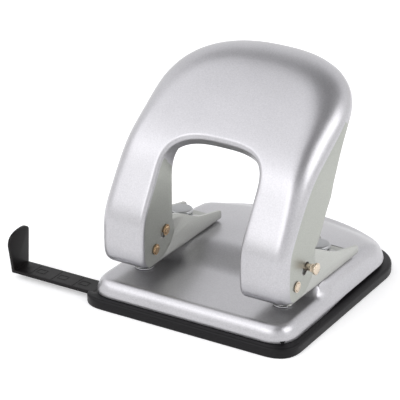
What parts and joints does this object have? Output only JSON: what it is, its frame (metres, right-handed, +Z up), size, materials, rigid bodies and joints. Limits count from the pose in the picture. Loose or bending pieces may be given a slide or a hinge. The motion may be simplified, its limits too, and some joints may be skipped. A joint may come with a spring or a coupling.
{
  "type": "two-hole punch",
  "caption": "Desk paper punch with an arched sheet-metal handle, open punch frames, a pressed base, a chip tray and a sliding paper gauge.",
  "frame": {"origin": "on the desk under the tray, midway between the two punched holes in X; the punches stand 25 mm in front of it", "axes": "+X along the row of holes, with the paper gauge reaching out to -X; -Y is the front, where the paper goes in; +Z up"},
  "size_m": [0.166, 0.138, 0.1203],
  "materials": {
    "silver_paint": "satin metallic silver paint with a fine flake",
    "black_plastic": "satin moulded black",
    "plain_steel": "turned and ground",
    "plated_steel": "zinc plated, dull",
    "warm_plated": "yellowish plating, polished",
    "grey_rubber": "matt"
  },
  "bodies": {
    "base": {"base_plate": "silver_paint", "frame_left": "plated_steel", "die_left": "plain_steel", "guide_bush_left": "plain_steel", "punch_spring_left": "plain_steel", "bumper_left": "grey_rubber", "pivot_rivet_left": "warm_plated", "frame_rivet_front_left": "plain_steel", "frame_rivet_rear_left": "plain_steel", "frame_right": "plated_steel", "die_right": "plain_steel", "guide_bush_right": "plain_steel", "punch_spring_right": "plain_steel", "bumper_right": "grey_rubber", "pivot_rivet_right": "warm_plated", "frame_rivet_front_right": "plain_steel", "frame_rivet_rear_right": "plain_steel"},
    "handle": {"handle": "silver_paint"},
    "punch_left": {"punch_left": "plain_steel", "punch_washer_left": "plain_steel", "drive_pin_left": "warm_plated"},
    "punch_right": {"punch_right": "plain_steel", "punch_washer_right": "plain_steel"},
    "lock_pin": {"lock_pin_right": "warm_plated"},
    "tray": {"chip_tray": "black_plastic", "gauge_clip": "plain_steel"},
    "gauge": {"paper_gauge": "black_plastic"}
  },
  "joints": [
    {"name": "handle_press", "type": "hinge", "parent": "base", "child": "handle", "pos_m": [0, -0.0344, 0.0301], "axis": [-1, 0, 0], "range_deg": [0, 40], "stiffness_Nm_per_rad": 0.5, "springref_deg": -17.19},
    {"name": "punch_left_travel", "type": "slide", "parent": "base", "child": "punch_left", "axis": [0, 0, -1], "range_m": [0, 0.0076], "deforming": ["punch_spring_left"]},
    {"name": "punch_right_travel", "type": "slide", "parent": "base", "child": "punch_right", "axis": [0, 0, -1], "range_m": [0, 0.0076], "deforming": ["punch_spring_right"]},
    {"name": "lock_pin_slide", "type": "slide", "parent": "punch_right", "child": "lock_pin", "axis": [-1, 0, 0], "range_m": [0, 0.004]},
    {"name": "tray_release", "type": "slide", "parent": "base", "child": "tray", "axis": [0, 0, -1], "range_m": [0, 0.015]},
    {"name": "gauge_slide", "type": "slide", "parent": "tray", "child": "gauge", "axis": [1, 0, 0], "range_m": [-0.015, 0.041]}
  ],
  "couplings": [
    {"joint": "punch_left_travel", "follows": "handle_press", "m_per_rad": 0.0108},
    {"joint": "punch_right_travel", "follows": "handle_press", "m_per_rad": 0.0108}
  ]
}
